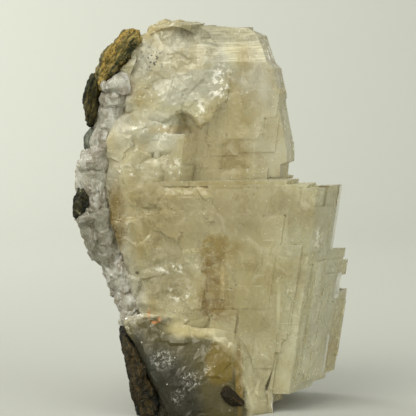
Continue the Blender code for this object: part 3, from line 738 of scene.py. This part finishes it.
def cleavedSheet(look):
    # a block whose outline is given across and up, and whose front and back lie at places along the back edge
    def spot(x, z, deep):
        # right and up for a place that is seen at (x, z) and lies so deep
        a, b, c, d = rightEdge.x, upEdge.x, rightEdge.z, upEdge.z
        left, up = x - corner.x - backEdge.x * deep, z - corner.z - backEdge.z * deep
        whole = a * d - b * c
        return placed(((left * d - b * up) / whole, deep, (a * up - c * left) / whole))

    highs = [z for z, deep in look["fronts"][1:-1]]
    points = []
    for (x, z), (nextX, nextZ) in sides(look["outline"]):
        points.append((x, z))
        cuts = sorted(((high - z) / (nextZ - z) for high in highs if min(z, nextZ) < high < max(z, nextZ)))
        points += [(x + (nextX - x) * cut, z + (nextZ - z) * cut) for cut in cuts]
    middle = sum(x for x, z in points) / len(points)
    bm = bmesh.new()
    near, far = [], []
    for x, z in points:
        inset = look["inset"] if x > middle else 0.0
        near.append(bm.verts.new(spot(x - inset, z, between(z, look["fronts"]))))
        far.append(bm.verts.new(spot(x, z, look["back"])))
    bends = []
    for high in highs:
        # the front bends at these heights
        level = [vert for vert, (x, z) in zip(near, points) if abs(z - high) < 1e-6]
        level.sort(key=lambda vert: vert.co.x)
        bends.append([level[0], level[-1]])
    return blockBetween(bm, "cleaved_sheet", near, far, bends)


def crisped(obj, share):
    # fewer and larger faces, which meet at crisp edges
    step = obj.modifiers.new("crisp", "DECIMATE")
    step.ratio = share
    baked(obj, obj.data.name)


def leaning(obj, look):
    # the front of a lump leans back with height, and its back stays
    foot, slope, curve = look["lean"]
    middle, leftTilt, rightTilt = look["across"]
    for vert in obj.data.vertices:
        share = min(max((look["back"] - vert.co.y / mm) / (look["back"] - look["front"]), 0.0), 1.0)
        height = max(vert.co.z / mm - foot, 0.0)
        aside = vert.co.x / mm - middle
        aside *= leftTilt if aside < 0.0 else rightTilt
        vert.co.y += share * (slope * height + curve * height * height + aside) * mm
    obj.data.update()


def stepped(value, size, share, wander):
    # a smooth staircase: flat treads of one size with steep risers, share 0 to 1
    shifted = value / size + wander
    cell = math.floor(shifted)
    part = shifted - cell
    riser = min(max((part - 0.5) / (1.0 - 0.8 * share) + 0.5, 0.0), 1.0)
    riser = riser * riser * (3.0 - 2.0 * riser)
    return (cell + riser * share + part * (1.0 - share) - wander) * size


def broken(obj, look):
    # the surface of a lump broken into steps along the three cleavage edges, then roughened
    for vert in obj.data.vertices:
        spot = unlattice @ (vert.co / mm - corner)
        calm = min(max(0.5 + 1.6 * noise.noise(spot * look["calm"]), 0.15), 1.0)
        for size, share, seed in look["steps"]:
            moved = []
            for axis in range(3):
                others = Vector(spot)
                others[axis] = seed * 7.0 + axis * 13.0
                wander = 1.6 * noise.noise(others * (0.16 / size ** 0.5))
                moved.append(stepped(spot[axis], size, share * calm, wander))
            spot = Vector(moved)
        vert.co = placed(spot)
    obj.data.update()
    faceted(obj, look["facets"])
    roughened(obj, look["roughness"])


def withNormals(obj):
    # each point with its normal, as they are before any of them moves
    return list(zip(obj.data.vertices, [vert.normal.copy() for vert in obj.data.vertices]))


def faceted(obj, rows):
    # flat facets that lean at random, with ragged scarps between them, in rows of cell size and height in mm
    for size, height in rows:
        for vert, normal in withNormals(obj):
            spot = vert.co / mm
            spot += noise.noise_vector(spot * (1.3 / size)) * size * 0.15
            cell = noise.voronoi(spot / size)[1][0]
            lean = noise.cell_vector(cell * 17.3) * 2.0 - Vector((1.0, 1.0, 1.0))
            push = (spot / size - cell).dot(lean) + 0.4 * lean.x
            vert.co += normal * min(max(push, -0.7), 0.7) * height * mm
        obj.data.update()


def roughened(obj, rows):
    # noise along the normals, in rows of swells per mm and height in mm
    for scale, height in rows:
        for vert, normal in withNormals(obj):
            vert.co += normal * (noise.noise(vert.co / mm * scale + Vector((3.1, 7.7, 1.9))) * height * mm)
        obj.data.update()


def remeshed(obj, voxel, smoothing, swell):
    # one even skin of small faces, smoothed and swollen a little
    step = obj.modifiers.new("skin", "REMESH")
    step.mode = "VOXEL"
    step.voxel_size = voxel * mm
    if smoothing:
        step = obj.modifiers.new("smooth", "SMOOTH")
        step.iterations = smoothing
        step.factor = 0.5
    step = obj.modifiers.new("swell", "DISPLACE")
    step.mid_level = 0.0
    step.strength = swell * mm
    baked(obj, obj.data.name)


def brokenBoxes(overlap):
    # the two boxes of the broken half as one mesh, reaching further right by the overlap
    boxes = [cleavedBox(low, (high[0] + overlap, high[1], high[2])) for low, high in calcite["broken"]["boxes"]]
    joinedWith(boxes[0], boxes[1], "UNION")
    return boxes[0]


def shrunk(outline, share):
    # an outline drawn in towards its middle, so that a lump overlaps the rim of the place cleared for it
    middle = [sum(spot[i] for spot in outline) / len(outline) for i in range(2)]
    return [[middle[i] + (spot[i] - middle[i]) * share for i in range(2)] for spot in outline]


print("calcite")
body = newObject("calcite_crystal", mergedCopy("calcite"))
left = newObject("left_half", mergedCopy("calcite"))
crest = newObject("crest", mergedCopy("calcite"))
calciteLook = calciteFinish(calciteColours)
look = calcite["broken"]
joinedWith(left, brokenBoxes(look["overlap"]), "INTERSECT")
remeshed(left, look["voxel"], look["smoothing"], look["swell"])
broken(left, look)
crisped(left, look["crisp"])
joinedWith(body, brokenBoxes(0.0), "DIFFERENCE")
lumps = []
for name, look in calcite["lumps"].items():
    for part in (body, left):
        joinedWith(part, prism(shrunk(look["outline"], 0.94), -beyond, look["clear"]), "DIFFERENCE")
    lump = prism(torn(look["outline"], *look["torn"]), look["front"], look["back"])
    remeshed(lump, look["voxel"], look["smoothing"], look["swell"])
    leaning(lump, look)
    broken(lump, look)
    crisped(lump, look["crisp"])
    lumps.append(lump)
joinedWith(crest, cleavedBox(calcite["crest"]["low"], calcite["crest"]["high"]), "INTERSECT")
lumps.append(crest)
for lump in lumps:
    joinedWith(left, lump, "UNION")
print("  broken part", len(left.data.polygons))

# the upper block's right-hand end: trimmed to its outline, then filled out to it
rightmost = [spot for spot in calcite["upper"]["outline"] if spot[0] > 8.0]
spare = [(beyond, rightmost[-1][1]), (beyond, beyond * 2), (rightmost[0][0], beyond * 2)]
joinedWith(body, prism(rightmost + spare, -beyond, beyond), "DIFFERENCE")
joinedWith(body, cleavedSheet(calcite["upper"]), "UNION")

plateTrees = {"joined": cleavageTree("cleavage plates", "UNION"), "cut": cleavageTree("cleavage steps", "DIFFERENCE")}
chips = calcite["chips"]
chipTree().use(body, {
    "Sharpness": chips["Sharpness"], "Spacing": chips["Spacing"] * mm, "Share": chips["Share"],
    "Smallest": chips["Smallest"] * mm, "Largest": chips["Largest"] * mm, "Seed": chips["Seed"],
    "Material": calciteLook})
for way, facing, low, high, density, smallest, largest, lifts, seed in calcite["plates"]:
    normal, outward, first, second = faces[facing]
    if way == "cut":
        outward = -outward
    plateTrees[way].use(body, {
        "Facing": tuple(normal), "Facing Share": calcite["facing"], "Outward Edge": tuple(outward),
        "First Edge": tuple(first), "Second Edge": tuple(second),
        "Low Corner": tuple(v * mm for v in low), "High Corner": tuple(v * mm for v in high),
        "Density": float(density), "Seed": seed,
        "Smallest": tuple(v * mm for v in smallest), "Largest": tuple(v * mm for v in largest),
        "Least Lift": lifts[0] * mm, "Most Lift": lifts[1] * mm, "Material": calciteLook})
baked(body, "calcite_crystal")
print("  cleaved part", len(body.data.polygons))

# both parts carry one material, and after the join they share its one slot
for lump, slot in ((body, 0), (left, 1)):
    lump.data.materials.clear()
    for count in range(2):
        lump.data.materials.append(calciteLook)
    for face in lump.data.polygons:
        face.material_index = slot
joinedWith(body, left, "UNION")

# nothing hangs below the foot
under = [(-beyond, -50.0), (beyond, -50.0), (beyond, 0.0), (-beyond, 0.0)]
joinedWith(body, prism(under, -beyond, beyond), "DIFFERENCE")
keptIn(body)
for face in body.data.polygons:
    face.use_smooth = False
    face.material_index = 0
body.data.materials.pop()
print("  faces", len(body.data.polygons))
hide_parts("calcite")
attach(body, "root")


# Quartz rim

rimLook = {
    # grains per square metre, and their size in mm; the skin, facets and roughness as for the broken half; the index
    # of quartz; colours; the place and half widths in mm of a shaded part
    "slot": "quartz_rim", "density": 250000.0, "smallest": 0.15, "largest": 0.6, "seed": 11,
    "voxel": 0.38, "smoothing": 3, "swell": 0.75, "facets": [(5.0, 0.9), (2.0, 0.3)],
    "roughness": [(0.35, 0.5), (1.2, 0.06)], "crisp": 0.13, "index": 1.544,
    "milk": screenColour(213, 210, 190), "lilac": screenColour(163, 152, 131), "grey": screenColour(120, 115, 90),
    "white": screenColour(232, 230, 218), "speck": screenColour(60, 54, 42),
    "shade": ((-28.7, -12.0, 45.0), (7.0, 20.0, 8.0)),
}


def rimFinish(look):
    finish = Finish("quartz_rim")
    drift = finish.noise(0.16, 4.0, 0.6, shift=2.0, warp=0.8)
    grain = finish.noise(0.9, 4.0, 0.65, shift=6.0)
    own = finish.spots(0.9)[1]
    colour = finish.mixed(drift.between(0.36, 0.6), look["lilac"], look["milk"])
    colour = finish.mixed(own.between(0.55, 0.95) * 0.25, colour, look["grey"])
    streaks = finish.noise((0.7, 0.7, 0.16), 4.0, 0.65, shift=24.0, warp=0.6).between(0.53, 0.6)
    colour = finish.mixed(streaks * 0.85, colour, look["white"])
    colour = finish.mixed(grain.between(0.58, 0.7) * 0.7, colour, look["white"])
    ragged = (finish.noise(0.12, 3.0, 0.6) - 0.5) * 0.7
    colour = finish.mixed(finish.patch(*look["shade"], 0.3, ragged) * 0.6, colour, look["grey"])
    pits = finish.noise(0.55, 2.0, 0.5, shift=15.0).between(0.68, 0.74)
    colour = finish.mixed(pits * 0.5, colour, look["speck"])
    normal = finish.bump(grain, 0.5, 0.0004)
    shader = finish.shader({
        "Base Color": colour, "Roughness": 0.25 + 0.35 * grain.between(0.4, 0.7), "IOR": look["index"],
        "Transmission Weight": 0.5, "Normal": normal})
    return finish.done(shader)


print("quartz rim")
rim = newObject("quartz_rim_band", mergedCopy("quartz_rim"))
rimMaterial = rimFinish(rimLook)
rim.data.materials.append(rimMaterial)
grainTree().use(rim, {
    "Density": rimLook["density"], "Smallest": rimLook["smallest"] * mm, "Largest": rimLook["largest"] * mm,
    "Seed": rimLook["seed"], "Material": rimMaterial})
baked(rim, "quartz_rim_band")
remeshed(rim, rimLook["voxel"], rimLook["smoothing"], rimLook["swell"])
faceted(rim, rimLook["facets"])
roughened(rim, rimLook["roughness"])
crisped(rim, rimLook["crisp"])
keptIn(rim)
print("  faces", len(rim.data.polygons))
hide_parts("quartz_rim")
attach(rim, "root")


# Wall rock

rockLooks = {
    # voxel, smoothing and swell in mm; the way its layers lie, with their thickness, height and waviness in mm;
    # roughness; where its colours start across the layers and how wide they lie in mm, with how strictly; the
    # colour of thin seams between its layers; colours; an outline across and up in mm that trims it
    "host_rock_crown": {
        "slot": "rusty_rock", "voxel": 0.3, "smoothing": 1, "swell": 0.3,
        "layers": ((0.75, -0.35, -0.56), 1.7, 0.8, 1.2), "roughness": [(0.35, 0.9), (1.1, 0.5), (3.0, 0.18)],
        "crisp": 0.35, "stretch": 3.0, "shift": 4.0, "sorted": (-65.0, 8.4, 0.5),
        "seam": (44, 52, 28),
        "stops": [(0.15, (156, 150, 116)), (0.22, (122, 112, 76)), (0.27, (58, 54, 34)), (0.33, (134, 118, 66)),
                  (0.4, (162, 134, 64)), (0.44, (92, 80, 44)), (0.49, (148, 128, 68)), (0.54, (122, 106, 58)),
                  (0.6, (52, 54, 34)), (0.72, (28, 32, 20)), (0.85, (96, 98, 76))],
    },
    "host_rock_flank": {
        "slot": "dark_rock", "voxel": 0.3, "smoothing": 1, "swell": 0.3,
        "layers": ((0.95, -0.2, -0.2), 1.3, 0.6, 0.8), "roughness": [(0.4, 0.7), (1.2, 0.35), (3.0, 0.15)],
        "crisp": 0.35, "stretch": 4.0, "shift": 9.0, "sorted": (0.0, 1.0, 0.0),
        "seam": (18, 18, 8),
        "stops": [(0.0, (14, 18, 8)), (0.42, (34, 37, 17)), (0.54, (66, 60, 28)), (0.66, (92, 82, 42)),
                  (0.8, (46, 46, 28))],
    },
    "host_rock_lobe": {
        "slot": "dark_rock", "voxel": 0.28, "smoothing": 8, "swell": 0.3,
        "layers": ((0.9, -0.3, 0.3), 1.6, 0.25, 0.8), "roughness": [(0.4, 0.5), (1.5, 0.15)],
        "crisp": 0.35, "stretch": 2.0, "shift": 14.0, "sorted": (0.0, 1.0, 0.0),
        "seam": (50, 54, 42),
        "stops": [(0.0, (48, 54, 44)), (0.45, (84, 88, 74)), (0.6, (112, 114, 98)), (0.78, (150, 150, 132))],
    },
    "host_rock_spur": {
        "slot": "dark_rock", "voxel": 0.28, "smoothing": 0, "swell": 0.3,
        "layers": ((0.5, -0.3, 0.8), 1.5, 0.5, 0.8), "roughness": [(0.45, 0.8), (1.4, 0.4), (3.2, 0.15)],
        "crisp": 0.35, "stretch": 1.5, "shift": 21.0, "sorted": (0.0, 1.0, 0.0),
        "seam": (12, 13, 7),
        "stops": [(0.0, (10, 11, 6)), (0.46, (24, 25, 12)), (0.56, (58, 55, 30)), (0.62, (26, 28, 16)),
                  (0.74, (140, 134, 98))],
    },
    "host_rock_foot": {
        "slot": "dark_rock", "voxel": 0.4, "smoothing": 4, "swell": 0.3,
        "layers": ((0.85, -0.3, 0.35), 2.2, 0.6, 1.5), "roughness": [(0.3, 0.9), (1.0, 0.4), (2.6, 0.18)],
        "crisp": 0.35, "stretch": 2.5, "shift": 27.0, "sorted": (0.0, 1.0, 0.0),
        "seam": (10, 11, 7),
        "stops": [(0.0, (4, 5, 3)), (0.44, (12, 13, 8)), (0.52, (50, 42, 16)), (0.57, (16, 17, 9)),
                  (0.64, (74, 58, 26)), (0.7, (40, 40, 26)), (0.8, (14, 15, 8))],
    },
    "host_rock_chip": {
        "slot": "rusty_rock", "voxel": 0.25, "smoothing": 0, "swell": 0.15,
        "layers": ((0.4, -0.3, 0.8), 1.4, 0.15, 0.8), "roughness": [(0.45, 0.25), (1.5, 0.15)],
        "crisp": 0.35, "stretch": 2.0, "shift": 33.0, "sorted": (0.0, 1.0, 0.0),
        "seam": (12, 9, 3),
        "stops": [(0.0, (8, 6, 0)), (0.42, (30, 23, 4)), (0.56, (66, 50, 14)), (0.75, (38, 31, 8))],
        "outline": [(1.4, 8.7), (3.6, 8.3), (5.4, 6.4), (8.0, 3.3), (5.6, 3.1), (2.7, 3.7), (2.0, 5.4)],
    },
}


rockGlint = screenColour(150, 140, 112)  # small pale grains in every scrap


def rockFinish(name, look):
    finish = Finish(name)
    along = Vector(look["layers"][0]).normalized()
    # noise drawn out along the layers: the place is squeezed but for its part across them
    across = finish.vector("DOT_PRODUCT", finish.place, tuple(along))
    pushed = finish.joined(across, across * 0.3, across * -0.4)
    drawn = finish.vector("ADD", finish.vector("SCALE", finish.place, 1.0 / look["stretch"]), pushed)
    bands = finish.noise(0.34, 5.0, 0.6, place=drawn, shift=look["shift"], warp=0.5)
    grain = finish.noise(1.6, 4.0, 0.65, shift=look["shift"] + 5.0)
    start, span, strict = look["sorted"]
    share = ((bands * 0.75 + grain * 0.25) - 0.5) * 1.9 + 0.5
    share = share * (1.0 - strict) + ((across - start) / span).clipped() * strict
    stops = [(spot, screenColour(*rgb)) for spot, rgb in look["stops"]]
    ramp = finish.node("ShaderNodeValToRGB", {"stops": stops}, {"Fac": share})
    colour = ramp.outputs["Color"]
    seams = finish.noise(0.9, 4.0, 0.65, place=drawn, shift=look["shift"] + 2.0).between(0.52, 0.6)
    colour = finish.mixed(seams * 0.7, colour, screenColour(*look["seam"]))
    glints = finish.noise(3.2, 2.0, 0.5, shift=look["shift"] + 9.0).between(0.66, 0.72)
    colour = finish.mixed(glints * 0.35, colour, rockGlint)
    normal = finish.bump(grain, 0.7, 0.0005)
    shader = finish.shader({
        "Base Color": colour, "Roughness": 0.55 + 0.35 * grain.between(0.35, 0.65), "Specular IOR Level": 0.2,
        "Normal": normal})
    return finish.done(shader)


def layered(obj, layers):
    # ledges where the layers of the rock have worn by different amounts
    along = Vector(layers[0]).normalized()
    thick, height, wavy = layers[1:]
    for vert, normal in withNormals(obj):
        spot = vert.co / mm
        level = (spot.dot(along) + wavy * noise.noise(spot * 0.2)) / thick
        cell = math.floor(level)
        part = level - cell
        worn = noise.cell(Vector((cell * 1.7, 3.3, 8.1))) * 0.5 - 0.5 * abs(part - 0.5)
        vert.co += normal * (worn * height * (1.0 - abs(normal.dot(along)))) * mm
    obj.data.update()


print("wall rock")
for node, look in rockLooks.items():
    rock = newObject(node + "_scrap", mergedCopy(node))
    rock.data.name = node + "_scrap"
    if "outline" in look:
        joinedWith(rock, prism(look["outline"], -beyond, beyond), "INTERSECT")
    rock.data.materials.clear()
    rock.data.materials.append(rockFinish(node, look))
    remeshed(rock, look["voxel"], look["smoothing"], look["swell"])
    layered(rock, look["layers"])
    roughened(rock, look["roughness"])
    crisped(rock, look["crisp"])
    keptIn(rock)
    print("  " + node, len(rock.data.polygons))
    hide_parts(node)
    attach(rock, "root")


# Stage, light and camera

stage = {
    # colours, and in metres the floor's width, its near edge, where it bends up, that bend and its top
    "floor": (0.38, 0.385, 0.34, 1.0), "sky": (0.93, 0.95, 0.9, 1.0), "skyStrength": 0.75,
    "width": 2.4, "near": -1.4, "bend": 0.5, "radius": 0.5, "steps": 16, "height": 1.6,
}


def sweep():
    # a floor that bends up into a backdrop
    profile = [(stage["near"], 0.0), (stage["bend"], 0.0)]
    for step in range(1, stage["steps"] + 1):
        angle = math.pi / 2 * step / stage["steps"]
        profile.append((stage["bend"] + stage["radius"] * math.sin(angle), stage["radius"] * (1 - math.cos(angle))))
    profile.append((stage["bend"] + stage["radius"], stage["height"]))
    bm = bmesh.new()
    rows = [[bm.verts.new((side * stage["width"] / 2, y, z)) for y, z in profile] for side in (-1, 1)]
    for first in range(len(profile) - 1):
        bm.faces.new((rows[0][first], rows[1][first], rows[1][first + 1], rows[0][first + 1]))
    mesh = meshFrom(bm, "floor")
    mesh.shade_smooth()
    floor = newObject("floor", mesh)
    finish = Finish("paper")
    grain = finish.noise(0.8, 3.0, 0.6)
    shader = finish.shader({"Base Color": stage["floor"], "Roughness": 0.85,
                            "Normal": finish.bump(grain, 0.05, 0.0002)})
    mesh.materials.append(finish.done(shader))


def softLight(name, place, aim, width, height, power, colour):
    light = bpy.data.lights.new(name, "AREA")
    light.shape = "RECTANGLE"
    light.size = width
    light.size_y = height
    light.energy = power
    light.color = colour
    made = newObject(name, light)
    made.location = place
    made.rotation_euler = (Vector(aim) - Vector(place)).to_track_quat("-Z", "Y").to_euler()


print("stage")
sweep()
lights = {
    # place and aim in metres, width, height, power in watts, colour
    "key": ((-0.4, -0.6, 0.7), (0.0, 0.0, 0.05), 0.6, 0.6, 8.0, (1.0, 0.99, 0.96)),
    "fill": ((0.7, -0.6, 0.45), (0.0, 0.0, 0.05), 0.7, 0.7, 3.0, (0.97, 0.99, 1.0)),
    "backdrop": ((-0.5, 0.3, 0.62), (-0.19, 0.95, 0.27), 0.35, 0.35, 7.6, (1.0, 1.0, 0.97)),
}
for name, (place, aim, width, height, power, colour) in lights.items():
    softLight(name, place, aim, width, height, power, colour)

world = bpy.data.worlds.new("studio")
world.use_nodes = True
background = world.node_tree.nodes["Background"].inputs
background["Color"].default_value = stage["sky"]
background["Strength"].default_value = stage["skyStrength"]
bpy.context.scene.world = world
bpy.context.scene.view_settings.view_transform = "Standard"

# lens and sensor in mm, the width seen at the aim, the aim, in mm, and how many degrees the camera looks down
view = {"lens": 150.0, "sensor": 36.0, "field": 104.0, "aim": (-1.2, -12.0, 51.75), "rise": 4.0}
camera = newObject("camera", bpy.data.cameras.new("camera"))
bpy.context.scene.camera = camera
camera.data.lens = view["lens"]
camera.data.sensor_width = view["sensor"]
camera.data.clip_start = 0.01
rise = math.radians(view["rise"])
outward = Vector((0.0, -math.cos(rise), math.sin(rise)))
camera.location = Vector(view["aim"]) * mm + outward * view["field"] * mm / view["sensor"] * view["lens"]
camera.rotation_euler = (-outward).to_track_quat("-Z", "Y").to_euler()
